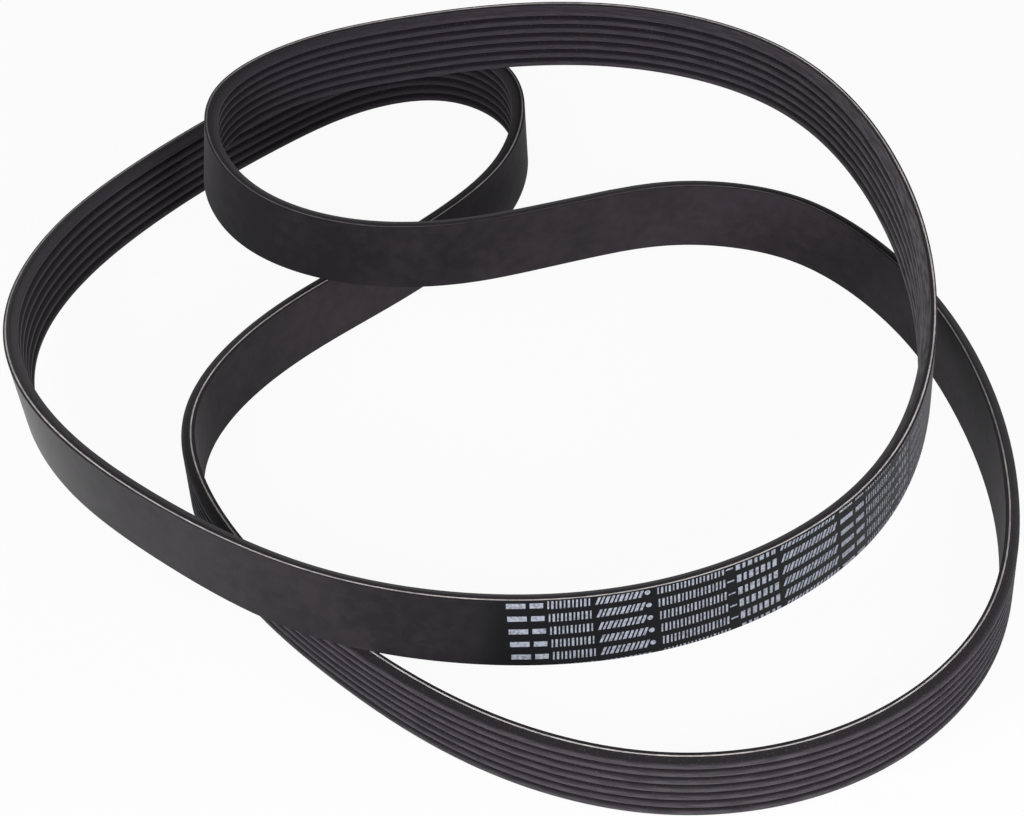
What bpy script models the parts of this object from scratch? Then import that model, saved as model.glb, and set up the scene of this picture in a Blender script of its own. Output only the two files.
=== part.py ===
"""Ribbed alternator belt, stood on its edge and crossed over itself in loose loops.

Run it with blender --background --python part.py, or from Blender's text editor.
Lengths are in metres, Z is up, and the belt rests on the plane Z = 0.
"""

import math

import bpy
import numpy as np
from mathutils import Matrix

MM = 0.001

# The belt's own sizes. The section is a seven-rib automotive one.
RIB_COUNT = 7
RIB_PITCH = 3.56 * MM
RIB_DEPTH = 2.4 * MM
RIB_ANGLE = math.radians(40)
GROOVE_FLOOR = 0.6 * MM
BACK_THICKNESS = 1.9 * MM
BELT_LENGTH = 1930 * MM

# Clear height between a strand and the strand that it crosses over.
STACK_GAP = 0.3 * MM

# The middle of the back, seen from above, at the length that the belt has in its loops. Each
# entry is X and Y in millimetres and the lean in degrees. Travel starts on the left, under the
# topmost crossing, and goes round clockwise with the ribs on its right. A positive lean tips
# the upper edge away from the ribs.
ROUTE = [
    (-92.5, 95.0, -3),
    (-67.0, 121.0, -1),
    (-32.0, 133.5, 0.5),
    (33.0, 140.5, -0.5),
    (94.0, 116.5, -1),
    (125.0, 61.5, 1.5),
    (132.0, -2.5, -0.5),
    (112.0, -69.5, -2.5),
    (57.0, -112.0, -6),
    (-14.0, -120.0, -5.5),
    (-56.0, -109.0, -5),
    (-94.0, -86.0, 0.5),
    (-126.0, -56.0, 4),
    (-145.0, -18.5, 8),
    (-148.5, 25.0, 8),
    (-134.5, 66.0, 8),
    (-107.5, 99.5, 4.5),
    (-75.5, 128.0, 3),
    (-39.5, 149.5, 1),
    (-15.0, 151.0, -0.5),
    (4.0, 137.0, -2.5),
    (8.5, 112.5, -2.5),
    (1.0, 89.0, -1.5),
    (-14.0, 69.5, -1.5),
    (-32.5, 52.0, -2),
    (-68.5, 20.0, -2.5),
    (-90.5, -22.5, -3),
    (-79.0, -64.0, -5),
    (-46.0, -104.5, -5.5),
    (-3.0, -137.5, -4),
    (48.5, -153.0, -2),
    (102.0, -140.5, -1),
    (139.0, -102.5, -0.5),
    (150.0, -53.5, 0.5),
    (143.5, -2.5, -3.5),
    (122.0, 45.0, -3),
    (95.0, 68.0, -2),
    (60.5, 65.5, 2),
    (29.0, 48.5, 1.5),
    (-5.0, 35.5, -1),
    (-48.0, 34.5, -1),
    (-84.0, 56.0, -3.5),
]

# Entries of ROUTE between which the belt comes down to the floor and climbs onto itself again.
# Everywhere else it lies flat on the floor or at the height of the strands it has crossed.
DESCENT = (11, 16)
CLIMB = (35, 39)

# The loop is drawn with this many straight lengths. They are shortest where it bends most: a
# length counts for its own turn plus its share of a gentle bend of this radius.
STATION_COUNT = 160
GENTLE_RADIUS = 400 * MM
READINGS_PER_STATION = 25

SHARP_EDGE_ANGLE = math.radians(15)
RUBBER_COLOUR = (0.026, 0.024, 0.026, 1.0)
RUBBER_ROUGHNESS = 0.6

# Sizes that follow from the ones above.
BELT_WIDTH = RIB_COUNT * RIB_PITCH
BELT_THICKNESS = BACK_THICKNESS + RIB_DEPTH
UPPER_LEVEL = BELT_WIDTH + STACK_GAP


def clear_scene():
    """Remove every object of the scene that the script starts in."""
    for obj in list(bpy.data.objects):
        bpy.data.objects.remove(obj, do_unlink=True)


def new_collection(name):
    """Add a collection to the scene and return it."""
    collection = bpy.data.collections.new(name)
    bpy.context.scene.collection.children.link(collection)
    return collection


def rubber_material():
    """Black rubber compound, moulded and ground, with a dull surface."""
    material = bpy.data.materials.new("black_rubber")
    material.use_nodes = True
    shader = material.node_tree.nodes["Principled BSDF"]
    shader.inputs["Base Color"].default_value = RUBBER_COLOUR
    shader.inputs["Roughness"].default_value = RUBBER_ROUGHNESS
    shader.inputs["Metallic"].default_value = 0.0
    material.diffuse_color = RUBBER_COLOUR
    return material


def section_corners():
    """Outline of the section as (height, depth) from the middle of the back, ribs at full depth."""
    half_width = BELT_WIDTH / 2
    flank_run = RIB_DEPTH * math.tan(RIB_ANGLE / 2)
    half_root = (RIB_PITCH - GROOVE_FLOOR) / 2
    half_tip = half_root - flank_run
    corners = [(-half_width, 0.0), (half_width, 0.0), (half_width, BACK_THICKNESS)]
    for rib in range(RIB_COUNT):
        middle = half_width - (rib + 0.5) * RIB_PITCH
        corners.append((middle + half_root, BACK_THICKNESS))
        corners.append((middle + half_tip, BELT_THICKNESS))
        corners.append((middle - half_tip, BELT_THICKNESS))
        corners.append((middle - half_root, BACK_THICKNESS))
    corners.append((-half_width, BACK_THICKNESS))
    return corners


def closed_cubic(knots, values, readings):
    """Read the smooth closed curve that takes the given values at the given knots."""
    gaps = np.diff(knots)
    slopes = np.diff(values, axis=0) / gaps[:, None]
    count = len(gaps)
    matrix = np.zeros((count, count))
    for i in range(count):
        matrix[i, i - 1] += gaps[i - 1]
        matrix[i, i] += 2 * (gaps[i - 1] + gaps[i])
        matrix[i, (i + 1) % count] += gaps[i]
    bends = np.linalg.solve(matrix, 6 * (slopes - np.roll(slopes, 1, axis=0)))
    bends = np.vstack([bends, bends[:1]])
    i = np.clip(np.searchsorted(knots, readings, side="right") - 1, 0, count - 1)
    gap = gaps[i][:, None]
    past = (readings - knots[i])[:, None]
    left = gap - past
    curved = (bends[i] * left**3 + bends[i + 1] * past**3) / (6 * gap)
    straight = (values[i] / gap - bends[i] * gap / 6) * left
    straight += (values[i + 1] / gap - bends[i + 1] * gap / 6) * past
    return curved + straight


def ease(share):
    """Go from 0 to 1 with no jump in slope or bend at either end."""
    share = np.clip(share, 0.0, 1.0)
    return share**3 * (10 - 15 * share + 6 * share**2)


def route_line(plan_scale, count):
    """Back line of the belt at count places: X, Y and Z in metres, and the lean in radians."""
    route = np.array(ROUTE, float)
    plan = route[:, :2] * MM * plan_scale
    values = np.column_stack([plan, np.radians(route[:, 2])])
    values = np.vstack([values, values[:1]])
    knots = np.concatenate([[0.0], np.cumsum(np.hypot(*np.diff(values[:, :2], axis=0).T))])
    readings = np.linspace(0.0, knots[-1], count, endpoint=False)
    line = closed_cubic(knots, values, readings)
    lean = line[:, 2]
    down = ease((readings - knots[DESCENT[0]]) / (knots[DESCENT[1]] - knots[DESCENT[0]]))
    up = ease((readings - knots[CLIMB[0]]) / (knots[CLIMB[1]] - knots[CLIMB[0]]))
    reach_below = [-(h * np.cos(lean) + d * np.sin(lean)) for h, d in section_corners()]
    height = UPPER_LEVEL * (1 - down + up) + np.max(reach_below, axis=0)
    return np.column_stack([line[:, :2], height, lean])


def steps_along(line):
    """Lengths of the straight steps between places, the last one back to the first."""
    ahead = np.roll(line[:, :3], -1, axis=0)
    return np.linalg.norm(ahead - line[:, :3], axis=1)


def belt_stations():
    """Places along the loop at its full length, closer together where it bends more."""
    readings = STATION_COUNT * READINGS_PER_STATION
    plan_scale = 1.0
    line = route_line(plan_scale, readings)
    while not math.isclose(steps_along(line).sum(), BELT_LENGTH):
        plan_scale *= BELT_LENGTH / steps_along(line).sum()
        line = route_line(plan_scale, readings)
    steps = steps_along(line)
    ahead = np.roll(line[:, :2], -1, axis=0) - line[:, :2]
    heading = np.arctan2(ahead[:, 1], ahead[:, 0])
    turn = np.abs(np.angle(np.exp(1j * (np.roll(heading, -1) - heading))))
    worth = np.concatenate([[0.0], np.cumsum(turn + steps / GENTLE_RADIUS)])
    wanted = np.linspace(0.0, worth[-1], STATION_COUNT, endpoint=False)
    line = np.vstack([line, line[:1]])
    return np.column_stack([np.interp(wanted, worth, column) for column in line.T])


def add_section(collection):
    """Section outline that is swept along the loop."""
    data = bpy.data.curves.new("belt_section", "CURVE")
    data.dimensions = "2D"
    corners = section_corners()
    spline = data.splines.new("POLY")
    spline.points.add(len(corners) - 1)
    for point, (height, depth) in zip(spline.points, corners):
        point.co = (depth, height, 0.0, 1.0)
    spline.use_cyclic_u = True
    return add_guide(data, collection)


def add_loop(section, collection):
    """Closed line along the middle of the back, with the section swept along it."""
    data = bpy.data.curves.new("belt_loop", "CURVE")
    data.dimensions = "3D"
    data.twist_mode = "Z_UP"
    data.bevel_mode = "OBJECT"
    data.bevel_object = section
    stations = belt_stations()
    spline = data.splines.new("POLY")
    spline.points.add(len(stations) - 1)
    for point, (x, y, z, lean) in zip(spline.points, stations):
        point.co = (x, y, z, 1.0)
        point.tilt = -lean
    spline.use_cyclic_u = True
    return add_guide(data, collection)


def add_guide(data, collection):
    """Put construction geometry in the scene where it is seen but not rendered."""
    guide = bpy.data.objects.new(data.name, data)
    guide.hide_render = True
    guide.display_type = "WIRE"
    collection.objects.link(guide)
    return guide


def add_belt(loop, collection):
    """The belt itself: the swept loop as one closed mesh, centred on its own box."""
    bpy.context.view_layer.update()
    graph = bpy.context.evaluated_depsgraph_get()
    mesh = bpy.data.meshes.new_from_object(loop.evaluated_get(graph))
    mesh.name = "ribbed_belt"
    points = np.array([vertex.co for vertex in mesh.vertices])
    middle = (points.min(axis=0) + points.max(axis=0)) / 2
    mesh.transform(Matrix.Translation((-middle[0], -middle[1], 0.0)))
    mesh.shade_smooth()
    mesh.set_sharp_from_angle(angle=SHARP_EDGE_ANGLE)
    mesh.materials.clear()
    mesh.materials.append(rubber_material())
    belt = bpy.data.objects.new("ribbed_belt", mesh)
    collection.objects.link(belt)
    return belt


def main():
    clear_scene()
    parts = new_collection("alternator_belt")
    guides = new_collection("guides")
    section = add_section(guides)
    loop = add_loop(section, guides)
    add_belt(loop, parts)


main()
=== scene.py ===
"""Looks of a ribbed alternator belt, laid out as an add-on and run as a script.

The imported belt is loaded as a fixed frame. Its rubber is swept again along the same route, with
rounded rib tips, grooves and edges and with the tension cord showing in both cut sides. Rows of
plain marks stand on a blackened stretch of its back. Lengths are in metres, and Z is up.
"""

import math

import bmesh
import bpy
import numpy as np
from bpy.props import FloatProperty, FloatVectorProperty, IntProperty, PointerProperty
from mathutils import Matrix, Vector


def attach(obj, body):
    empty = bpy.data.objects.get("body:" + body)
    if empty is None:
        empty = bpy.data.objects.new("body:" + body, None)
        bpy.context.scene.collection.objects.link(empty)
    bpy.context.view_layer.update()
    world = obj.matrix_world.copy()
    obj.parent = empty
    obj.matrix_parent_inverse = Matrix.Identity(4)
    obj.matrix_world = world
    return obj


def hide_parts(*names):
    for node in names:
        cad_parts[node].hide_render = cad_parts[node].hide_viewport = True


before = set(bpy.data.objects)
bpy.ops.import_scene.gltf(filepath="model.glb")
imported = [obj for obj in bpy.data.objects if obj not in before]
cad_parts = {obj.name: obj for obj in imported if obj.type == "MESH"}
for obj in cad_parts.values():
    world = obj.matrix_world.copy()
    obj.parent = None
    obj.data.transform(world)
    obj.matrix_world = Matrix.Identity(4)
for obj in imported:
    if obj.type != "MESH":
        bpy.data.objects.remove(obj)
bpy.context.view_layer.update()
BELT_NODE = "ribbed_belt"
BELT_BODY = "root"

bl_info = {
    "name": "Ribbed Belt",
    "version": (1, 0, 0),
    "blender": (4, 5, 0),
    "location": "3D View > Sidebar > Belt",
    "description": "Makes a ribbed belt with its print, and the stage that it stands on",
    "category": "Object",
}

MM = 0.001

# The middle of the back, seen from above: X and Y in millimetres and the lean in degrees. Travel
# goes round clockwise with the ribs on its right. A positive lean tips the upper edge away from
# the ribs. The loops come down to the floor between the entries of DESCENT, and climb back onto
# themselves between those of CLIMB.
ROUTE = [
    (-92.5, 95.0, -3),
    (-67.0, 121.0, -1),
    (-32.0, 133.5, 0.5),
    (33.0, 140.5, -0.5),
    (94.0, 116.5, -1),
    (125.0, 61.5, 1.5),
    (132.0, -2.5, -0.5),
    (112.0, -69.5, -2.5),
    (57.0, -112.0, -6),
    (-14.0, -120.0, -5.5),
    (-56.0, -109.0, -5),
    (-94.0, -86.0, 0.5),
    (-126.0, -56.0, 4),
    (-145.0, -18.5, 8),
    (-148.5, 25.0, 8),
    (-134.5, 66.0, 8),
    (-107.5, 99.5, 4.5),
    (-75.5, 128.0, 3),
    (-39.5, 149.5, 1),
    (-15.0, 151.0, -0.5),
    (4.0, 137.0, -2.5),
    (8.5, 112.5, -2.5),
    (1.0, 89.0, -1.5),
    (-14.0, 69.5, -1.5),
    (-32.5, 52.0, -2),
    (-68.5, 20.0, -2.5),
    (-90.5, -22.5, -3),
    (-79.0, -64.0, -5),
    (-46.0, -104.5, -5.5),
    (-3.0, -137.5, -4),
    (48.5, -153.0, -2),
    (102.0, -140.5, -1),
    (139.0, -102.5, -0.5),
    (150.0, -53.5, 0.5),
    (143.5, -2.5, -3.5),
    (122.0, 45.0, -3),
    (95.0, 68.0, -2),
    (60.5, 65.5, 2),
    (29.0, 48.5, 1.5),
    (-5.0, 35.5, -1),
    (-48.0, 34.5, -1),
    (-84.0, 56.0, -3.5),
]
DESCENT = (11, 16)
CLIMB = (35, 39)

# The route is read this many times for each station, to find where the stations go.
READINGS_PER_STATION = 12

# Lengths that differ by less than this count as equal.
HAIR = 0.001 * MM

# How the tension cord shows in the cut sides. Each entry is how far along the belt it is and how
# much deeper than the usual depth the cord lies there, both in millimetres, and the share of the
# cord that is bare.
CORD_COURSE = [
    (0, -0.1, 0.3),
    (50, -0.05, 0.8),
    (100, 0.0, 1.0),
    (200, 0.0, 1.0),
    (275, 0.05, 0.9),
    (325, -0.2, 0.9),
    (400, 0.1, 1.0),
    (450, -0.25, 1.0),
    (550, -0.25, 0.95),
    (640, -0.2, 0.95),
    (680, 0.1, 1.0),
    (740, 0.0, 0.8),
    (790, -0.1, 0.5),
    (850, -0.1, 0.35),
    (1000, -0.05, 0.25),
    (1030, -0.05, 0.65),
    (1100, -0.2, 0.75),
    (1150, 0.3, 0.9),
    (1200, 0.5, 0.75),
    (1250, 0.2, 0.5),
    (1300, 0.3, 0.9),
    (1375, 0.55, 1.0),
    (1430, 0.55, 1.0),
    (1480, 0.2, 0.75),
    (1550, 0.55, 0.6),
    (1580, 0.25, 0.4),
    (1600, -0.05, 0.4),
    (1630, -0.1, 0.5),
    (1660, -0.2, 0.1),
    (1720, -0.25, 0.2),
    (1800, -0.25, 0.04),
    (1860, -0.25, 0.22),
    (1900, -0.1, 0.15),
]

# Wear of the rubber, with painted light and shade in it. Each entry is how far along the belt it is in
# millimetres, and four shares: how far the back is rubbed smooth there; how pale the back is, partly
# as a film from handling and partly as painted light and shade, with painted glare from 300 to 360 mm
# where the back turns away at a slant and painted shade from 1850 to 1900 mm where little light
# reaches the loop; how scuffed the ribs' tips are; and how much painted light lies on the outer flank
# of the top rib, which faces up into the light.
WEAR_COURSE = [
    (0, 0.0, 0.4, 0.0, 0.6),
    (50, 0.0, 0.4, 0.05, 0.8),
    (100, 0.0, 0.4, 0.15, 0.9),
    (200, 0.0, 0.4, 0.2, 1.0),
    (240, 0.0, 0.4, 0.35, 1.0),
    (300, 0.0, 0.6, 0.7, 1.0),
    (360, 0.0, 1.0, 0.7, 0.8),
    (420, 0.0, 0.2, 0.1, 0.5),
    (550, 0.0, 0.2, 0.0, 0.5),
    (620, 1.0, 0.4, 0.0, 0.5),
    (760, 1.0, 0.4, 0.0, 0.7),
    (800, 0.0, 0.3, 0.0, 0.8),
    (1000, 0.0, 0.3, 0.0, 0.7),
    (1100, 0.0, 0.9, 0.0, 0.5),
    (1150, 0.0, 0.5, 0.1, 0.5),
    (1190, 0.0, 0.4, 0.3, 0.3),
    (1230, 0.0, 0.3, 0.2, 0.0),
    (1300, 0.0, 0.3, 0.25, 0.0),
    (1430, 0.0, 0.3, 0.25, 0.0),
    (1500, 0.0, 0.3, 0.15, 0.3),
    (1560, 0.0, 0.7, 0.0, 0.5),
    (1630, 0.0, 0.2, 0.0, 0.5),
    (1700, 0.0, 0.7, 0.0, 0.5),
    (1750, 0.0, 0.8, 0.0, 0.5),
    (1800, 0.0, 0.4, 0.0, 0.5),
    (1850, 0.0, 0.1, 0.0, 0.5),
    (1900, 0.0, 0.1, 0.0, 0.6),
]

# One row of the print, from its start: kinds of mark and how many of each. A space is a gap.
PRINT_ROW = [
    ("bar", 2),
    ("tick", 11),
    ("space", 1),
    ("slant", 10),
    ("dot", 1),
    ("space", 1),
    ("tick", 18),
    ("dash", 1),
    ("block", 7),
    ("space", 1),
    ("slant", 15),
    ("space", 1),
    ("bar", 2),
    ("tick", 12),
    ("dot", 2),
    ("block", 4),
    ("space", 1),
    ("tick", 14),
]

# Each kind of mark: its widths in turn, its height, the gap after it, all in millimetres, and how
# far its top runs ahead of its foot, as a share of its height.
MARKS = {
    "tick": ((0.45, 0.65, 0.4, 0.55), 3.0, 0.65, 0.0),
    "block": ((1.4, 0.95), 2.8, 0.8, 0.0),
    "dash": ((2.2,), 0.55, 0.9, 0.0),
    "dot": ((1.7,), 1.7, 0.75, 0.0),
    "slant": ((0.8, 0.6, 1.0), 2.8, 0.58, 0.35),
    "bar": ((5.5, 3.8), 1.9, 1.2, 0.0),
    "space": ((1.3,), 0.0, 0.0, 0.0),
}

# Finishes of the rubber, in the order of the belt's material slots.
BACK, RIBS, CUT, CORD, GROUND = range(5)

# What each point keeps while the belt is made: its place in the section, and on the unrolled belt.
PLACE_ON_BELT = ("height", "depth", "around", "along")

# The UV map holds metres along the belt and metres round its section. The rubber's attributes hold
# how much of the cord is bare, how rubbed and how pale the rubber is, the paleness holding painted
# glare and shade as well as wear, and how near to a rib's tip a place is, which sets the painted shade
# deep in the grooves; on the top rib's outer flank it holds painted light that falls from above instead.
SURFACE_MAP = "unrolled"
BARE_SHARE = "bare_share"
RUBBED_SHARE = "rubbed_share"
PALE_SHARE = "pale_share"
TIP_SHARE = "tip_share"
SHARES = (BARE_SHARE, RUBBED_SHARE, PALE_SHARE, TIP_SHARE)

# The marks' attribute holds how worn the ink is, up to this share at the end of the print.
WORN_SHARE = "worn_share"
MOST_WORN = 0.6

# Soft boxes round the belt: name, place and width in metres, and power in watts. All face the belt.
SOFT_BOXES = [
    ("front_left_box", (-0.6, -0.6, 0.6), 0.5, 5.4),
    ("near_right_box", (0.4, -0.5, 0.35), 0.3, 2.9),
    ("near_front_box", (0.0, -0.65, 0.3), 0.3, 1.1),
    ("back_left_box", (-0.65, 0.85, 0.3), 0.5, 2.5),
    ("back_right_box", (0.65, 0.85, 0.3), 0.5, 2.5),
]

# Width of the camera's sensor in millimetres, and how far the floor reaches each way in metres.
SENSOR_WIDTH = 36.0
FLOOR_REACH = 3.0

WHITE = (1.0, 1.0, 1.0, 1.0)

# Sockets of a Mix node that mixes two colours: its inputs, and its output.
FACTOR, FIRST, SECOND = 0, 6, 7
MIXED = 2


def linear(hex_colour):
    """Turn an sRGB colour, written as six hex digits, to linear red, green, blue and alpha."""
    shares = [int(hex_colour[i : i + 2], 16) / 255 for i in (0, 2, 4)]
    rgb = [s / 12.92 if s <= 0.04045 else ((s + 0.055) / 1.055) ** 2.4 for s in shares]
    return (*rgb, 1.0)


def length(name, description, default):
    """A size in metres that a user may change."""
    return FloatProperty(name=name, description=description, default=default, unit="LENGTH", precision=5)


def colour(name, description, hex_colour):
    """A colour that a user may change, given in sRGB hex."""
    return FloatVectorProperty(
        name=name, description=description, default=linear(hex_colour), subtype="COLOR", size=4
    )


class BeltSizes(bpy.types.PropertyGroup):
    """Sizes of the belt's section and of its loop."""

    rib_count: IntProperty(name="Ribs", description="Ribs side by side", default=7, min=2)
    rib_pitch: length("Rib pitch", "From the middle of one rib to the next", 3.56 * MM)
    rib_depth: length("Rib depth", "From a groove's floor to a rib's tip", 2.4 * MM)
    rib_angle: FloatProperty(
        name="Rib angle",
        description="Between the two flanks of a rib",
        default=math.radians(40),
        subtype="ANGLE",
    )
    groove_floor: length("Groove floor", "Flat width at the bottom of a groove", 0.6 * MM)
    back_thickness: length("Back thickness", "From the back to a groove's floor", 1.9 * MM)
    tip_rounding: length("Tip rounding", "Radius on the edges of a rib's tip", 0.45 * MM)
    groove_rounding: length("Groove rounding", "Radius in the corners of a groove", 0.25 * MM)
    edge_rounding: length("Edge rounding", "Radius on the edges of the back", 0.2 * MM)
    cord_depth: length("Cord depth", "From the back to the tension cord, where it lies as usual", 0.8 * MM)
    cord_width: length("Cord width", "Height of the cord that the cut lays bare", 0.45 * MM)
    cord_recess: length("Cord recess", "How far the cut cord lies under the cut rubber", 0.05 * MM)
    belt_length: length("Belt length", "Along the middle of the back, once round", 1930 * MM)
    stack_gap: length("Stack gap", "Between a strand and the one that it crosses over", 0.3 * MM)
    station_count: IntProperty(
        name="Stations", description="Straight lengths that the loop is drawn with", default=640, min=80
    )
    gentle_radius: length("Gentle radius", "Bends wider than this get longer steps", 400 * MM)


class PrintSizes(bpy.types.PropertyGroup):
    """Sizes and place of the rows of marks on the back."""

    start: length("Print start", "Along the belt to the first mark", 532.5 * MM)
    row_pitch: length("Row pitch", "From one row's middle to the next", 4.9 * MM)
    row_count: IntProperty(name="Rows", description="Rows of marks, the outer ones cut", default=6, min=1)
    top_row: length("Top row", "Height of the first row's middle above the belt's middle", 10.5 * MM)
    row_shift: length("Row shift", "How much further on each lower row starts", 0.4 * MM)
    rise: FloatProperty(name="Rise", description="How much the rows climb along the belt", default=0.018)
    film: length("Ink film", "How far the ink stands above the back", 0.03 * MM)
    bend_step: length("Bend step", "Longest stretch of ink with no bend in it", 1.5 * MM)
    ground_start: length("Ground start", "Along the belt to where the black ground sets in", 548 * MM)
    ground_end: length("Ground end", "Along the belt to where the black ground ends", 345 * MM)
    ground_fade: length("Ground fade", "Length over which the black ground sets in", 16 * MM)
    worn_start: length("Wear start", "Along the belt to where the print starts to wear off", 430 * MM)
    worn_end: length("Wear end", "Along the belt to where the print is most worn", 368 * MM)


class BeltColours(bpy.types.PropertyGroup):
    """Colours of the rubber, the cord and the print."""

    back: colour("Back", "Smooth rubber of the back", "1a171b")
    # The smudge colour is both a paler film from handling and painted glare where the back turns away at a
    # slant.
    smudge_and_glare: colour("Smudge", "Paler film left on the back by handling", "332e33")
    # The groove colour is darker than the tip colour partly as painted shade deep between the ribs.
    groove: colour("Groove", "Ground rubber deep between the ribs", "1e1b1f")
    tip: colour("Tip", "Ground rubber of the ribs' tips", "332f35")
    scuff: colour("Scuff", "Ribs where they have rubbed on something", "625e63")
    fibre: colour("Fibre", "Short fibres that the grinding lays bare", "5a5457")
    cut: colour("Cut side", "Rubber of the knife-cut sides", "211e22")
    cord: colour("Tension cord", "Cut fibres of the tension cord", "d6cfce")
    ink: colour("Ink", "Pale ink of the marks", "a3a9b7")
    ground: colour("Print ground", "Black ground that the marks stand on", "07080b")


class StageSettings(bpy.types.PropertyGroup):
    """Camera and studio round the belt."""

    elevation: FloatProperty(
        name="Elevation",
        description="How far the camera looks down",
        default=math.radians(45.73),
        subtype="ANGLE",
    )
    distance: length("Distance", "From the camera to what it looks at", 1.2045)
    aim: FloatVectorProperty(
        name="Aim",
        description="The place that the camera looks at",
        default=(2.37 * MM, 7.3 * MM, 0.0),
        unit="LENGTH",
    )
    lens: FloatProperty(
        name="Lens",
        description="Focal length for a sensor 36 mm wide",
        default=136.12,
        unit="CAMERA",
    )
    floor: colour("Floor", "Matt white floor", "e6e6e6")
    plain_white: FloatProperty(
        name="Plain white", description="Share of the floor that is seen unlit", default=0.94, max=1.0
    )
    lamp_level: FloatProperty(name="Lamp level", description="Share of the soft boxes' power", default=1.0)
    sky: FloatProperty(name="Surroundings", description="Strength of the light all round", default=0.06)


def half_width_of(sizes):
    """Half of the belt's width, from the middle of its section to a cut side."""
    return sizes.rib_count * sizes.rib_pitch / 2


def section_corners(sizes):
    """Outline of the section as (height, depth) from the middle of the back, with the turn and the
    rounding of each corner."""
    half_width = half_width_of(sizes)
    thickness = sizes.back_thickness + sizes.rib_depth
    half_root = (sizes.rib_pitch - sizes.groove_floor) / 2
    half_tip = half_root - sizes.rib_depth * math.tan(sizes.rib_angle / 2)
    cord_top = sizes.cord_depth - sizes.cord_width / 2
    cord_foot = sizes.cord_depth + sizes.cord_width / 2
    inset = half_width - sizes.cord_recess
    square = math.radians(90)
    flank_turn = square - sizes.rib_angle / 2
    sharp = (0.0, 0.0)
    side = [
        (half_width, cord_top, *sharp),
        (inset, cord_top + sizes.cord_recess, *sharp),
        (inset, cord_foot - sizes.cord_recess, *sharp),
        (half_width, cord_foot, *sharp),
        (half_width, sizes.back_thickness, *sharp),
    ]
    corners = [(half_width, 0.0, square, sizes.edge_rounding), *side]
    for rib in range(sizes.rib_count):
        middle = half_width - (rib + 0.5) * sizes.rib_pitch
        corners.append((middle + half_root, sizes.back_thickness, flank_turn, sizes.groove_rounding))
        corners.append((middle + half_tip, thickness, flank_turn, sizes.tip_rounding))
        corners.append((middle - half_tip, thickness, flank_turn, sizes.tip_rounding))
        corners.append((middle - half_root, sizes.back_thickness, flank_turn, sizes.groove_rounding))
    corners += [(-height, depth, *rest) for height, depth, *rest in reversed(side)]
    corners.append((-half_width, 0.0, square, sizes.edge_rounding))
    return corners


def closed_cubic(knots, values, readings):
    """Read the smooth closed curve that takes the given values at the given knots."""
    gaps = np.diff(knots)
    slopes = np.diff(values, axis=0) / gaps[:, None]
    count = len(gaps)
    matrix = np.zeros((count, count))
    for i in range(count):
        matrix[i, i - 1] += gaps[i - 1]
        matrix[i, i] += 2 * (gaps[i - 1] + gaps[i])
        matrix[i, (i + 1) % count] += gaps[i]
    bends = np.linalg.solve(matrix, 6 * (slopes - np.roll(slopes, 1, axis=0)))
    bends = np.vstack([bends, bends[:1]])
    i = np.clip(np.searchsorted(knots, readings, side="right") - 1, 0, count - 1)
    gap = gaps[i][:, None]
    past = (readings - knots[i])[:, None]
    left = gap - past
    curved = (bends[i] * left**3 + bends[i + 1] * past**3) / (6 * gap)
    straight = (values[i] / gap - bends[i] * gap / 6) * left
    straight += (values[i + 1] / gap - bends[i + 1] * gap / 6) * past
    return curved + straight


def ease(share):
    """Go from 0 to 1 with no jump in slope or bend at either end."""
    share = np.clip(share, 0.0, 1.0)
    return share**3 * (10 - 15 * share + 6 * share**2)


def route_line(sizes, plan_scale, count):
    """Back line of the belt at count places: X, Y and Z in metres, and the lean in radians."""
    route = np.array(ROUTE, float)
    values = np.column_stack([route[:, :2] * MM * plan_scale, np.radians(route[:, 2])])
    values = np.vstack([values, values[:1]])
    knots = np.concatenate([[0.0], np.cumsum(np.hypot(*np.diff(values[:, :2], axis=0).T))])
    readings = np.linspace(0.0, knots[-1], count, endpoint=False)
    line = closed_cubic(knots, values, readings)
    lean = line[:, 2]
    down = ease((readings - knots[DESCENT[0]]) / (knots[DESCENT[1]] - knots[DESCENT[0]]))
    up = ease((readings - knots[CLIMB[0]]) / (knots[CLIMB[1]] - knots[CLIMB[0]]))
    reach_below = [-(h * np.cos(lean) + d * np.sin(lean)) for h, d, *_ in section_corners(sizes)]
    upper_level = 2 * half_width_of(sizes) + sizes.stack_gap
    height = upper_level * (1 - down + up) + np.max(reach_below, axis=0)
    return np.column_stack([line[:, :2], height, lean])


def steps_along(line):
    """Lengths of the straight steps between places, the last one back to the first."""
    return np.linalg.norm(np.roll(line[:, :3], -1, axis=0) - line[:, :3], axis=1)


def belt_stations(sizes):
    """Places along the loop at its full length, closer together where it bends more."""
    readings = sizes.station_count * READINGS_PER_STATION
    plan_scale = 1.0
    line = route_line(sizes, plan_scale, readings)
    while abs(steps_along(line).sum() - sizes.belt_length) > HAIR:
        plan_scale *= sizes.belt_length / steps_along(line).sum()
        line = route_line(sizes, plan_scale, readings)
    steps = steps_along(line)
    ahead = np.roll(line[:, :2], -1, axis=0) - line[:, :2]
    heading = np.arctan2(ahead[:, 1], ahead[:, 0])
    turn = np.abs(np.angle(np.exp(1j * (np.roll(heading, -1) - heading))))
    worth = np.concatenate([[0.0], np.cumsum(turn + steps / sizes.gentle_radius)])
    wanted = np.linspace(0.0, worth[-1], sizes.station_count, endpoint=False)
    line = np.vstack([line, line[:1]])
    return np.column_stack([np.interp(wanted, worth, column) for column in line.T])


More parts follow.
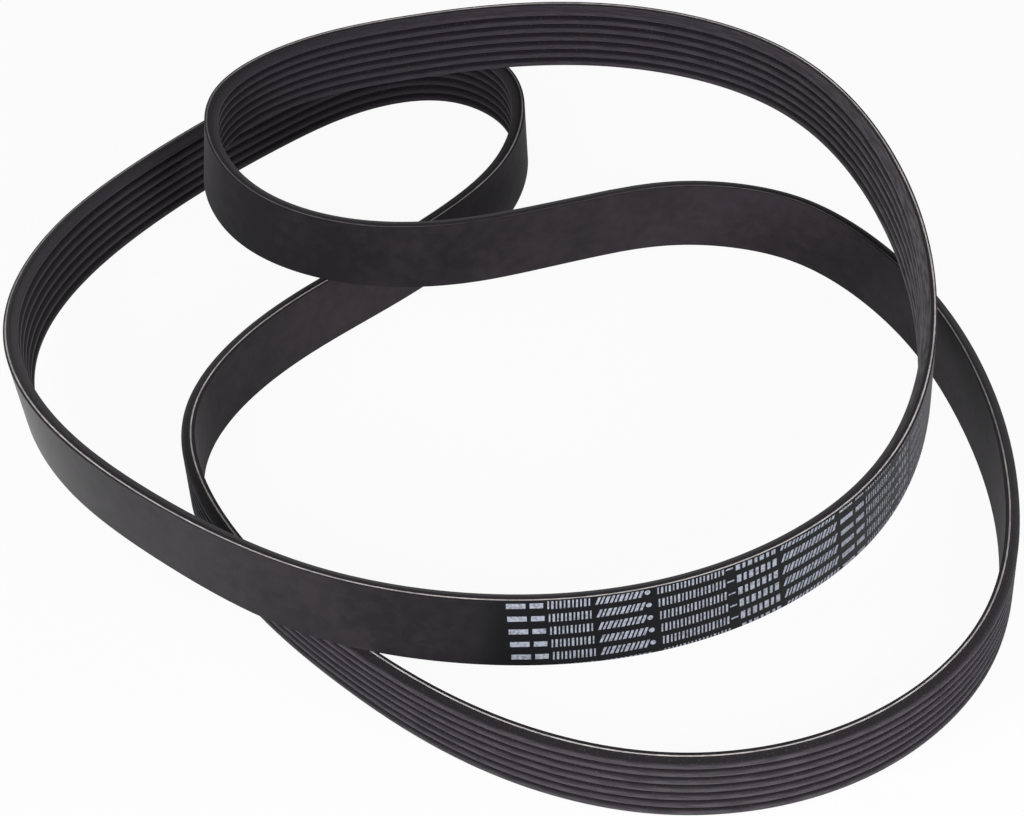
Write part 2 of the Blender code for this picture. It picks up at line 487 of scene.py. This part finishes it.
def section_places(sizes):
    """For each station the matrix that puts the section there, and how far along the belt it is.

    A matrix takes (height, depth, 0) of the section to its place. The loop is centred on its box.
    """
    stations = belt_stations(sizes)
    points = stations[:, :3]
    lean = stations[:, 3:]
    steps = np.roll(points, -1, axis=0) - points
    lengths = np.linalg.norm(steps, axis=1)
    travel = steps / lengths[:, None]
    travel = travel + np.roll(travel, 1, axis=0)
    travel /= np.linalg.norm(travel, axis=1)[:, None]
    upward = np.array([0.0, 0.0, 1.0]) - travel * travel[:, 2:]
    upward /= np.linalg.norm(upward, axis=1)[:, None]
    ribward = np.cross(travel, upward)
    widthwise = np.cos(lean) * upward - np.sin(lean) * ribward
    depthwise = np.cos(lean) * ribward + np.sin(lean) * upward
    reach = [points + h * widthwise + d * depthwise for h, d, *_ in section_corners(sizes)]
    middle = (np.min(reach, axis=(0, 1)) + np.max(reach, axis=(0, 1))) / 2
    middle[2] = 0.0
    places = np.zeros((len(points), 4, 4))
    places[:, :3, 0] = widthwise
    places[:, :3, 1] = depthwise
    places[:, :3, 2] = travel
    places[:, :3, 3] = points - middle
    places[:, 3, 3] = 1.0
    along = np.concatenate([[0.0], np.cumsum(lengths)])
    return places, along


def read_course(course, along, belt_length):
    """Read each column of a course at distances along the closed belt."""
    course = np.array(course, float)
    course = np.vstack([course, course[:1]])
    course[-1, 0] = belt_length / MM
    return [np.interp(along / MM, course[:, 0], column) for column in course[:, 1:].T]


def rounded_section(sizes):
    """The section as one flat face, height along X and depth along Y, with its corners rounded."""
    bm = bmesh.new()
    corners = section_corners(sizes)
    made = [(bm.verts.new((height, depth, 0.0)), turn, rounding) for height, depth, turn, rounding in corners]
    bm.faces.new([vert for vert, _, _ in made])
    for rounding, segments in ((sizes.tip_rounding, 3), (sizes.groove_rounding, 2), (sizes.edge_rounding, 3)):
        chosen = [(vert, turn) for vert, turn, of_corner in made if of_corner == rounding]
        bmesh.ops.bevel(
            bm,
            geom=[vert for vert, _ in chosen],
            offset=rounding * math.tan(chosen[0][1] / 2),
            offset_type="OFFSET",
            affect="VERTICES",
            segments=segments,
            profile=0.5,
            material=-1,
        )
    return bm


def on_cord(height, depth, sizes):
    """Whether a place of the section's outline is a corner of the cord or lies between two."""
    margin = sizes.cord_recess / 2
    on_side = abs(height) > half_width_of(sizes) - sizes.cord_recess - margin
    return on_side and abs(depth - sizes.cord_depth) < sizes.cord_width / 2 + margin


def sweep_section(bm, sizes, places, along):
    """Sweep the flat section round the closed loop. Layers keep each point's place on it."""
    layers = {name: bm.verts.layers.float.new(name) for name in (*PLACE_ON_BELT, *SHARES)}
    deeper, _ = read_course(CORD_COURSE, along, sizes.belt_length)
    face = bm.faces[:][0]
    around = 0.0
    for loop in face.loops:
        loop.vert[layers["height"]] = loop.vert.co.x
        loop.vert[layers["depth"]] = loop.vert.co.y
        loop.vert[layers["around"]] = around
        around += loop.edge.calc_length()
    ring = list(bm.edges)
    bmesh.ops.delete(bm, geom=[face], context="FACES_ONLY")
    first = {vert[layers["around"]]: vert for vert in bm.verts}
    flat = {key: vert.co.copy() for key, vert in first.items()}
    shifts = {key: float(on_cord(co.x, co.y, sizes)) for key, co in flat.items()}
    put = [Matrix(place.tolist()) for place in places]
    for key, vert in first.items():
        vert.co = put[0] @ (flat[key] + Vector((0.0, shifts[key] * deeper[0] * MM, 0.0)))
    for place, distance, shift in zip(put[1:] + put[:1], along[1:], deeper[1:]):
        made = bmesh.ops.extrude_edge_only(bm, edges=ring)["geom"]
        ring = [item for item in made if isinstance(item, bmesh.types.BMEdge)]
        last = [item for item in made if isinstance(item, bmesh.types.BMVert)]
        for vert in last:
            key = vert[layers["around"]]
            vert.co = place @ (flat[key] + Vector((0.0, shifts[key] * shift * MM, 0.0)))
            vert[layers["along"]] = distance
    return layers, around, first, last


def add_wear(bm, layers, sizes):
    """Keep on each point the shares that the finishes read."""
    names = ("height", "depth", "along")
    height, depth, along = (np.array([vert[layers[name]] for vert in bm.verts]) for name in names)
    _, bare = read_course(CORD_COURSE, along, sizes.belt_length)
    rubbed, pale_back, scuffed_tips, top_flank_light = read_course(WEAR_COURSE, along, sizes.belt_length)
    at_top_edge = height > half_width_of(sizes) - sizes.groove_floor
    near_tip = (depth - sizes.back_thickness) / sizes.rib_depth
    shares = {
        BARE_SHARE: bare,
        RUBBED_SHARE: rubbed,
        PALE_SHARE: np.where(depth > sizes.back_thickness / 2, scuffed_tips, pale_back),
        # On the top rib's outer flank the tip share is painted light that falls on it from above.
        TIP_SHARE: np.where(at_top_edge, top_flank_light, near_tip),
    }
    for name, values in shares.items():
        for vert, value in zip(bm.verts, values):
            vert[layers[name]] = value


def close_loop(bm, layers, first, last, outline_length):
    """Unroll the rubber to a map in metres, then join the last ring of points to the first."""
    unrolled = bm.loops.layers.uv.new(SURFACE_MAP)
    for face in bm.faces:
        around = [loop.vert[layers["around"]] for loop in face.loops]
        passes_start = max(around) - min(around) > outline_length / 2
        for loop, place in zip(face.loops, around):
            if passes_start and place < outline_length / 2:
                place += outline_length
            loop[unrolled].uv = (loop.vert[layers["along"]], place)
    bmesh.ops.weld_verts(bm, targetmap={vert: first[vert[layers["around"]]] for vert in last})
    bmesh.ops.recalc_face_normals(bm, faces=bm.faces)


def finish_of(height, depth, distance, sizes, marks):
    """Which finish a place of the rubber has."""
    on_side = abs(height) > half_width_of(sizes) - sizes.cord_recess - HAIR
    if on_side and abs(depth - sizes.cord_depth) < sizes.cord_width / 2:
        return CORD
    if on_side and sizes.edge_rounding / 2 < depth < sizes.back_thickness:
        return CUT
    if depth > sizes.back_thickness / 2:
        return RIBS
    return GROUND if marks.ground_end < distance < marks.ground_start else BACK


def new_piece(bm, name, materials):
    """Put a finished bmesh in the scene as a smoothly shaded object."""
    mesh = bpy.data.meshes.new(name)
    bm.to_mesh(mesh)
    bm.free()
    mesh.shade_smooth()
    for material in materials:
        mesh.materials.append(material)
    piece = bpy.data.objects.new(name, mesh)
    bpy.context.scene.collection.objects.link(piece)
    return piece


def set_inputs(tree, node, inputs):
    """Set inputs of a node. Each is given a value, or the output that feeds it."""
    for name, value in inputs.items():
        if isinstance(value, bpy.types.NodeSocket):
            tree.links.new(value, node.inputs[name])
        else:
            node.inputs[name].default_value = value


def add_node(tree, kind, output, inputs=None, **settings):
    """Add a node with its settings and links, and give back one of its outputs."""
    node = tree.nodes.new(kind)
    for name, value in settings.items():
        setattr(node, name, value)
    set_inputs(tree, node, inputs or {})
    return node.outputs[output]


def new_material(name):
    """A material, its node tree and its Principled shader."""
    material = bpy.data.materials.new(name)
    material.use_nodes = True
    tree = material.node_tree
    return material, tree, tree.nodes["Principled BSDF"]


def grain(tree, places, size, detail):
    """Noise with patches of a size given in metres, along and across the belt."""
    along, across = size
    scale = (1 / along, 1 / across, 1 / across)
    sized = add_node(tree, "ShaderNodeMapping", "Vector", {"Vector": places, "Scale": scale})
    return add_node(tree, "ShaderNodeTexNoise", "Fac", {"Vector": sized, "Scale": 1.0, "Detail": detail})


def patchy_share(tree, places, size, detail, noise, share):
    """A share that changes from patch to patch. It goes smoothly from its first value to its second
    as the noise of the patches does the same."""
    inputs = {
        "Value": grain(tree, places, size, detail),
        "From Min": noise[0],
        "From Max": noise[1],
        "To Min": share[0],
        "To Max": share[1],
    }
    return add_node(tree, "ShaderNodeMapRange", "Result", inputs, interpolation_type="SMOOTHSTEP")


def back_tint(tree, places, unrolled, colours):
    """Colour of the smooth back. Handling leaves smudges about 20 mm across, blotches of 4 mm and
    faint scuffs 12 mm long on it. Stretch by stretch it is paler or darker as the wear course gives,
    which is in part painted glare and painted shade."""
    smudges = patchy_share(tree, places, (20 * MM, 20 * MM), 4.0, (0.3, 0.7), (-0.18, 0.18))
    blotches = patchy_share(tree, places, (4 * MM, 4 * MM), 4.0, (0.32, 0.68), (-0.14, 0.14))
    scuffs = patchy_share(tree, unrolled, (12 * MM, 1.5 * MM), 3.0, (0.6, 0.8), (0.0, 0.35))
    # Paleness from the wear course: a handling film in part, and painted glare and painted shade in part.
    pale = add_node(tree, "ShaderNodeAttribute", "Fac", attribute_name=PALE_SHARE)
    for marks in (smudges, blotches, scuffs):
        pale = add_node(tree, "ShaderNodeMath", "Value", {0: pale, 1: marks}, operation="ADD")
    mix = {FACTOR: pale, FIRST: tuple(colours.back), SECOND: tuple(colours.smudge_and_glare)}
    return add_node(tree, "ShaderNodeMix", MIXED, mix, data_type="RGBA")


def matt_relief(tree, places):
    """Relief of the smooth back. Its matt grain is about 0.1 mm across, and drawn at 0.5 mm, the
    finest that shows."""
    matt = grain(tree, places, (0.5 * MM, 0.5 * MM), 2.0)
    bump = {"Height": matt, "Distance": 0.05 * MM, "Strength": 0.35}
    return add_node(tree, "ShaderNodeBump", "Normal", bump)


def moulded_back(colours):
    """EPDM rubber moulded against a smooth sleeve. It is dull black, with a faint paler bloom that
    shows most where the eye meets it at a slant. Where it has been rubbed it is smoother and takes
    a soft shine."""
    material, tree, shader = new_material("moulded_epdm_back")
    places = add_node(tree, "ShaderNodeTexCoord", "Object")
    unrolled = add_node(tree, "ShaderNodeUVMap", "UV", uv_map=SURFACE_MAP)
    rubbed = add_node(tree, "ShaderNodeAttribute", "Fac", attribute_name=RUBBED_SHARE)
    shine = {"Value": rubbed, "To Min": 0.8, "To Max": 0.4}
    finish = {
        "Base Color": back_tint(tree, places, unrolled, colours),
        "Roughness": add_node(tree, "ShaderNodeMapRange", "Result", shine, interpolation_type="SMOOTHSTEP"),
        "Specular IOR Level": 0.12,
        "Sheen Weight": 0.08,
        "Sheen Roughness": 0.5,
        "Normal": matt_relief(tree, places),
    }
    set_inputs(tree, shader, finish)
    return material


def print_ground(colours, marks):
    """Black printing ground on the back. It is smoother and blacker than the rubber, turns grey
    where the eye meets it at a slant, and thins out to bare rubber at both ends of the print."""
    material, tree, shader = new_material("black_printing_ground")
    places = add_node(tree, "ShaderNodeTexCoord", "Object")
    unrolled = add_node(tree, "ShaderNodeUVMap", "UV", uv_map=SURFACE_MAP)
    distance = add_node(tree, "ShaderNodeSeparateXYZ", "X", {"Vector": unrolled})
    worn = 0.0
    for black, bare in (
        (marks.ground_start - marks.ground_fade, marks.ground_start),
        (marks.worn_start, marks.worn_end),
    ):
        fade = {"Value": distance, "From Min": black, "From Max": bare}
        end = add_node(tree, "ShaderNodeMapRange", "Result", fade, interpolation_type="SMOOTHSTEP")
        worn = add_node(tree, "ShaderNodeMath", "Value", {0: worn, 1: end}, operation="MAXIMUM")
    rubber = back_tint(tree, places, unrolled, colours)
    mix = {FACTOR: worn, FIRST: tuple(colours.ground), SECOND: rubber}
    shine = {"Value": worn, "To Min": 0.5, "To Max": 0.8}
    finish = {
        "Base Color": add_node(tree, "ShaderNodeMix", MIXED, mix, data_type="RGBA"),
        "Roughness": add_node(tree, "ShaderNodeMapRange", "Result", shine, interpolation_type="SMOOTHSTEP"),
        "Specular IOR Level": 0.12,
        "Sheen Weight": 0.19,
        "Sheen Roughness": 0.42,
        "Normal": matt_relief(tree, places),
    }
    set_inputs(tree, shader, finish)
    return material


def ground_ribs(colours):
    """Fibre-filled rubber ground to shape by a wheel. It is duller than the back, with fine lines
    along the belt and short pale fibres laid bare across it. The tips are paler than the grooves,
    partly as rubbed rubber and partly as painted shade deep in the grooves, and the top rib's outer
    flank takes painted light where it faces up. The tips are scuffed in streaks where they have run on
    something."""
    material, tree, shader = new_material("ground_fibre_rubber")
    unrolled = add_node(tree, "ShaderNodeUVMap", "UV", uv_map=SURFACE_MAP)
    # Nearness to the tip sets the painted shade in the grooves, and the painted light on the top rib's outer
    # flank.
    near_tip = add_node(tree, "ShaderNodeAttribute", "Fac", attribute_name=TIP_SHARE)
    outer_part = {"Value": near_tip, "From Min": 0.55, "From Max": 1.0}
    tips = add_node(tree, "ShaderNodeMapRange", "Result", outer_part, interpolation_type="SMOOTHSTEP")
    # The streaks are 7 mm long. The fibres are 0.35 mm wide, and 0.9 mm long across the belt.
    streaks = patchy_share(tree, unrolled, (7 * MM, 0.7 * MM), 3.0, (0.35, 0.65), (0.3, 1.6))
    fibres = patchy_share(tree, unrolled, (0.35 * MM, 0.9 * MM), 1.0, (0.62, 0.78), (0.0, 0.6))
    scuffs = add_node(tree, "ShaderNodeAttribute", "Fac", attribute_name=PALE_SHARE)
    for share in (streaks, tips):
        scuffs = add_node(tree, "ShaderNodeMath", "Value", {0: scuffs, 1: share}, operation="MULTIPLY")
    # From the groove colour, which is painted shade deep in the grooves, to the paler tips, then scuffs and
    # fibres.
    tint = tuple(colours.groove)
    for share, paler in ((tips, colours.tip), (scuffs, colours.scuff), (fibres, colours.fibre)):
        mix = {FACTOR: share, FIRST: tint, SECOND: tuple(paler)}
        tint = add_node(tree, "ShaderNodeMix", MIXED, mix, data_type="RGBA")
    # Grinding lines run on for about 30 mm and are some 0.25 mm apart.
    lines = grain(tree, unrolled, (30 * MM, 0.25 * MM), 3.0)
    bump = {"Height": lines, "Distance": 0.04 * MM, "Strength": 0.5}
    finish = {
        "Base Color": tint,
        "Roughness": 0.8,
        "Specular IOR Level": 0.12,
        "Sheen Weight": 0.12,
        "Sheen Roughness": 0.5,
        "Normal": add_node(tree, "ShaderNodeBump", "Normal", bump),
    }
    set_inputs(tree, shader, finish)
    return material


def cut_side(colours):
    """Rubber cut by a knife. It is the blackest rubber of the belt, with tears about 1 mm long."""
    material, tree, shader = new_material("knife_cut_rubber")
    unrolled = add_node(tree, "ShaderNodeUVMap", "UV", uv_map=SURFACE_MAP)
    tear_size = (1.2 * MM, 0.4 * MM)
    torn = patchy_share(tree, unrolled, tear_size, 3.0, (0.55, 0.8), (0.0, 0.5))
    mix = {FACTOR: torn, FIRST: tuple(colours.cut), SECOND: tuple(colours.tip)}
    bump = {"Height": grain(tree, unrolled, tear_size, 3.0), "Distance": 0.06 * MM, "Strength": 0.5}
    finish = {
        "Base Color": add_node(tree, "ShaderNodeMix", MIXED, mix, data_type="RGBA"),
        "Roughness": 0.6,
        "Specular IOR Level": 0.1,
        "Normal": add_node(tree, "ShaderNodeBump", "Normal", bump),
    }
    set_inputs(tree, shader, finish)
    return material


def tension_cord(colours):
    """Polyester cord cut open along the side. Its pale twisted fibres show as soft beads, and dark
    rubber smeared by the knife covers it where less of it is bare."""
    material, tree, shader = new_material("cut_polyester_cord")
    unrolled = add_node(tree, "ShaderNodeUVMap", "UV", uv_map=SURFACE_MAP)
    # One turn of the twist is about 3 mm long, and the smears are 12 mm long.
    beads = patchy_share(tree, unrolled, (3 * MM, 1.5 * MM), 1.0, (0.3, 0.7), (0.72, 1.05))
    smears = patchy_share(tree, unrolled, (12 * MM, 3 * MM), 1.0, (0.3, 0.7), (0.8, 1.1))
    bare = add_node(tree, "ShaderNodeAttribute", "Fac", attribute_name=BARE_SHARE)
    for share in (beads, smears):
        bare = add_node(tree, "ShaderNodeMath", "Value", {0: bare, 1: share}, operation="MULTIPLY")
    mix = {FACTOR: bare, FIRST: tuple(colours.cut), SECOND: tuple(colours.cord)}
    finish = {
        "Base Color": add_node(tree, "ShaderNodeMix", MIXED, mix, data_type="RGBA"),
        "Roughness": 0.85,
        "Specular IOR Level": 0.2,
    }
    set_inputs(tree, shader, finish)
    return material


def printing_ink(colours):
    """Pale printing ink on rubber. It is a thin matt film, uneven where the black ground shows
    through in specks of 1 mm, and rubbed away towards one end of the print."""
    material, tree, shader = new_material("pale_printing_ink")
    places = add_node(tree, "ShaderNodeTexCoord", "Object")
    thin = patchy_share(tree, places, (0.9 * MM, 0.9 * MM), 3.0, (0.38, 0.75), (0.0, 0.65))
    worn = add_node(tree, "ShaderNodeAttribute", "Fac", attribute_name=WORN_SHARE)
    gone = add_node(tree, "ShaderNodeMath", "Value", {0: worn, 1: thin}, operation="ADD")
    mix = {FACTOR: gone, FIRST: tuple(colours.ink), SECOND: tuple(colours.smudge_and_glare)}
    finish = {
        "Base Color": add_node(tree, "ShaderNodeMix", MIXED, mix, data_type="RGBA"),
        "Roughness": 0.6,
        "Specular IOR Level": 0.3,
    }
    set_inputs(tree, shader, finish)
    return material


def seen_directly(tree):
    """1 for a ray from the camera, a reflection or clear glass, and 0 for light on its way."""
    share = 0.0
    for kind in ("Is Camera Ray", "Is Glossy Ray", "Is Transmission Ray"):
        ray = add_node(tree, "ShaderNodeLightPath", kind)
        share = add_node(tree, "ShaderNodeMath", "Value", {0: share, 1: ray}, operation="MAXIMUM")
    return share


def studio_floor(stage):
    """Matt white sheet. What the camera and reflections see of it is mostly plain white, and the
    rest is lit, so that the belt's shadow stays."""
    material, tree, shader = new_material("matt_white_sheet")
    set_inputs(tree, shader, {"Base Color": tuple(stage.floor), "Roughness": 0.9, "Specular IOR Level": 0.0})
    unlit = {0: seen_directly(tree), 1: stage.plain_white}
    both = {
        0: add_node(tree, "ShaderNodeMath", "Value", unlit, operation="MULTIPLY"),
        1: shader.outputs["BSDF"],
        2: add_node(tree, "ShaderNodeEmission", "Emission", {"Color": WHITE, "Strength": 1.0}),
    }
    surface = add_node(tree, "ShaderNodeMixShader", "Shader", both)
    tree.links.new(surface, tree.nodes["Material Output"].inputs["Surface"])
    return material


class BELT_OT_make_rubber(bpy.types.Operator):
    """Sweep the rounded section round the loop, with its cut sides and the cord in them"""

    bl_idname = "belt.make_rubber"
    bl_label = "Make Rubber"

    def execute(self, context):
        scene = context.scene
        sizes = scene.belt_sizes
        marks = scene.print_sizes
        places, along = section_places(sizes)
        bm = rounded_section(sizes)
        layers, outline_length, first, last = sweep_section(bm, sizes, places, along)
        for face in bm.faces:
            middle = [
                sum(vert[layers[name]] for vert in face.verts) / len(face.verts)
                for name in ("height", "depth", "along")
            ]
            face.material_index = finish_of(*middle, sizes, marks)
        add_wear(bm, layers, sizes)
        close_loop(bm, layers, first, last, outline_length)
        for name in PLACE_ON_BELT:
            bm.verts.layers.float.remove(bm.verts.layers.float[name])
        colours = scene.belt_colours
        materials = {
            BACK: moulded_back(colours),
            RIBS: ground_ribs(colours),
            CUT: cut_side(colours),
            CORD: tension_cord(colours),
            GROUND: print_ground(colours, marks),
        }
        belt = new_piece(bm, "rubber_belt", [materials[finish] for finish in sorted(materials)])
        even = belt.modifiers.new("even_shading", "WEIGHTED_NORMAL")
        even.weight = 100
        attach(belt, BELT_BODY)
        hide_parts(BELT_NODE)
        return {"FINISHED"}


def add_mark(bm, kind, start, width):
    """Add one flat mark of a row, its middle on Y = 0 and its start at X = start."""
    _, height, _, slant = MARKS[kind]
    place = Matrix.Translation((start + width * MM / 2, 0.0, 0.0))
    if kind == "dot":
        bmesh.ops.create_circle(bm, cap_ends=True, segments=12, radius=width * MM / 2, matrix=place)
        return
    size = Matrix.Diagonal((width * MM, height * MM, 1.0, 1.0))
    lean = Matrix.Identity(4)
    lean[0][1] = slant
    bmesh.ops.create_grid(bm, x_segments=1, y_segments=1, size=0.5, matrix=place @ lean @ size)


def print_row():
    """One flat row of marks from X = 0, and its length."""
    bm = bmesh.new()
    start = 0.0
    for kind, count in PRINT_ROW:
        widths, height, gap, _ = MARKS[kind]
        for i in range(count):
            width = widths[i % len(widths)]
            if height:
                add_mark(bm, kind, start, width)
            start += (width + gap) * MM
    return bm, start


def flat_print(marks, half_width):
    """All the rows as flat faces, cut off where the belt's edges cut them."""
    bm, row_length = print_row()
    row = bm.verts[:] + bm.edges[:] + bm.faces[:]
    for i in range(1, marks.row_count):
        copy = bmesh.ops.duplicate(bm, geom=row)["geom"]
        verts = [item for item in copy if isinstance(item, bmesh.types.BMVert)]
        bmesh.ops.translate(bm, verts=verts, vec=(i * marks.row_shift, -i * marks.row_pitch, 0.0))
    climb = Matrix.Identity(4)
    climb[1][0] = marks.rise
    bmesh.ops.transform(bm, verts=bm.verts, matrix=Matrix.Translation((0.0, marks.top_row, 0.0)) @ climb)
    for side in (1, -1):
        bmesh.ops.bisect_plane(
            bm,
            geom=bm.verts[:] + bm.edges[:] + bm.faces[:],
            plane_co=(0.0, side * half_width, 0.0),
            plane_no=(0.0, side, 0.0),
            clear_outer=True,
        )
    for i in range(1, math.ceil(row_length / marks.bend_step)):
        bmesh.ops.bisect_plane(
            bm,
            geom=bm.verts[:] + bm.edges[:] + bm.faces[:],
            plane_co=(i * marks.bend_step, 0.0, 0.0),
            plane_no=(1.0, 0.0, 0.0),
        )
    return bm


class BELT_OT_print_marks(bpy.types.Operator):
    """Lay rows of plain marks on the back, as a thin film of ink that follows its bend"""

    bl_idname = "belt.print_marks"
    bl_label = "Print Marks"

    def execute(self, context):
        scene = context.scene
        sizes = scene.belt_sizes
        marks = scene.print_sizes
        places, along = section_places(sizes)
        places = np.concatenate([places, places[:1]])
        bm = flat_print(marks, half_width_of(sizes) - sizes.edge_rounding)
        film = bmesh.ops.extrude_face_region(bm, geom=bm.faces[:], use_keep_orig=True)["geom"]
        for vert in (item for item in film if isinstance(item, bmesh.types.BMVert)):
            vert.co.z = 1.0
        worn = bm.verts.layers.float.new(WORN_SHARE)
        for vert in bm.verts:
            distance = marks.start - vert.co.x
            vert[worn] = np.interp(distance, (marks.worn_end, marks.worn_start), (MOST_WORN, 0.0))
            place = [np.interp(distance, along, column) for column in places.reshape(len(places), -1).T]
            depth = -marks.film if vert.co.z else marks.film
            vert.co = Matrix(np.reshape(place, (4, 4)).tolist()) @ Vector((vert.co.y, depth, 0.0))
        bmesh.ops.recalc_face_normals(bm, faces=bm.faces)
        ink = new_piece(bm, "printed_marks", [printing_ink(scene.belt_colours)])
        ink.data.shade_flat()
        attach(ink, BELT_BODY)
        return {"FINISHED"}


def add_soft_box(name, place, aim, size, power):
    """A square lamp with soft edges to its light, turned to what it lights."""
    lamp = bpy.data.lights.new(name, "AREA")
    lamp.shape = "SQUARE"
    lamp.size = size
    lamp.energy = power
    box = bpy.data.objects.new(name, lamp)
    box.location = place
    box.rotation_euler = (Vector(aim) - Vector(place)).to_track_quat("-Z", "Y").to_euler()
    bpy.context.scene.collection.objects.link(box)
    return box


def add_surroundings(strength):
    """Even light from all round. The camera and reflections see it as plain white."""
    world = bpy.data.worlds.new("white_studio")
    world.use_nodes = True
    tree = world.node_tree
    levels = {"Value": seen_directly(tree), "To Min": strength, "To Max": 1.0}
    level = add_node(tree, "ShaderNodeMapRange", "Result", levels)
    set_inputs(tree, tree.nodes["Background"], {"Color": WHITE, "Strength": level})
    bpy.context.scene.world = world


def add_camera(stage):
    """Camera in front of the belt that looks along +Y and down on it."""
    data = bpy.data.cameras.new("camera")
    data.lens = stage.lens
    data.sensor_width = SENSOR_WIDTH
    camera = bpy.data.objects.new("camera", data)
    back = Vector((0.0, -math.cos(stage.elevation), math.sin(stage.elevation)))
    camera.location = Vector(stage.aim) + back * stage.distance
    camera.rotation_euler = (math.radians(90) - stage.elevation, 0.0, 0.0)
    bpy.context.scene.collection.objects.link(camera)
    bpy.context.scene.camera = camera


class BELT_OT_set_stage(bpy.types.Operator):
    """Lay the white floor, hang the lights and aim the camera"""

    bl_idname = "belt.set_stage"
    bl_label = "Set Stage"

    def execute(self, context):
        scene = context.scene
        stage = scene.belt_stage
        bm = bmesh.new()
        bmesh.ops.create_grid(bm, x_segments=1, y_segments=1, size=FLOOR_REACH)
        floor = new_piece(bm, "floor", [studio_floor(stage)])
        add_surroundings(stage.sky)
        for name, place, width, power in SOFT_BOXES:
            add_soft_box(name, place, (0.0, 0.0, 0.0), width, power * stage.lamp_level)
        add_camera(stage)
        scene.view_settings.view_transform = "Standard"
        return {"FINISHED"}


class VIEW3D_PT_belt(bpy.types.Panel):
    """Sizes, colours and steps of the belt"""

    bl_label = "Ribbed Belt"
    bl_space_type = "VIEW_3D"
    bl_region_type = "UI"
    bl_category = "Belt"

    def draw(self, context):
        layout = self.layout
        for name, _ in PROPERTY_GROUPS:
            group = getattr(context.scene, name)
            box = layout.box()
            for key in group.__annotations__:
                box.prop(group, key)
        for operator in OPERATORS:
            layout.operator(operator.bl_idname)


PROPERTY_GROUPS = [
    ("belt_sizes", BeltSizes),
    ("print_sizes", PrintSizes),
    ("belt_colours", BeltColours),
    ("belt_stage", StageSettings),
]
OPERATORS = [BELT_OT_make_rubber, BELT_OT_print_marks, BELT_OT_set_stage]


def register():
    for name, group in PROPERTY_GROUPS:
        bpy.utils.register_class(group)
        setattr(bpy.types.Scene, name, PointerProperty(type=group))
    for operator in OPERATORS:
        bpy.utils.register_class(operator)
    bpy.utils.register_class(VIEW3D_PT_belt)


def unregister():
    bpy.utils.unregister_class(VIEW3D_PT_belt)
    for operator in reversed(OPERATORS):
        bpy.utils.unregister_class(operator)
    for name, group in reversed(PROPERTY_GROUPS):
        delattr(bpy.types.Scene, name)
        bpy.utils.unregister_class(group)


def main():
    register()
    bpy.ops.belt.make_rubber()
    bpy.ops.belt.print_marks()
    bpy.ops.belt.set_stage()


if __name__ == "__main__":
    main()
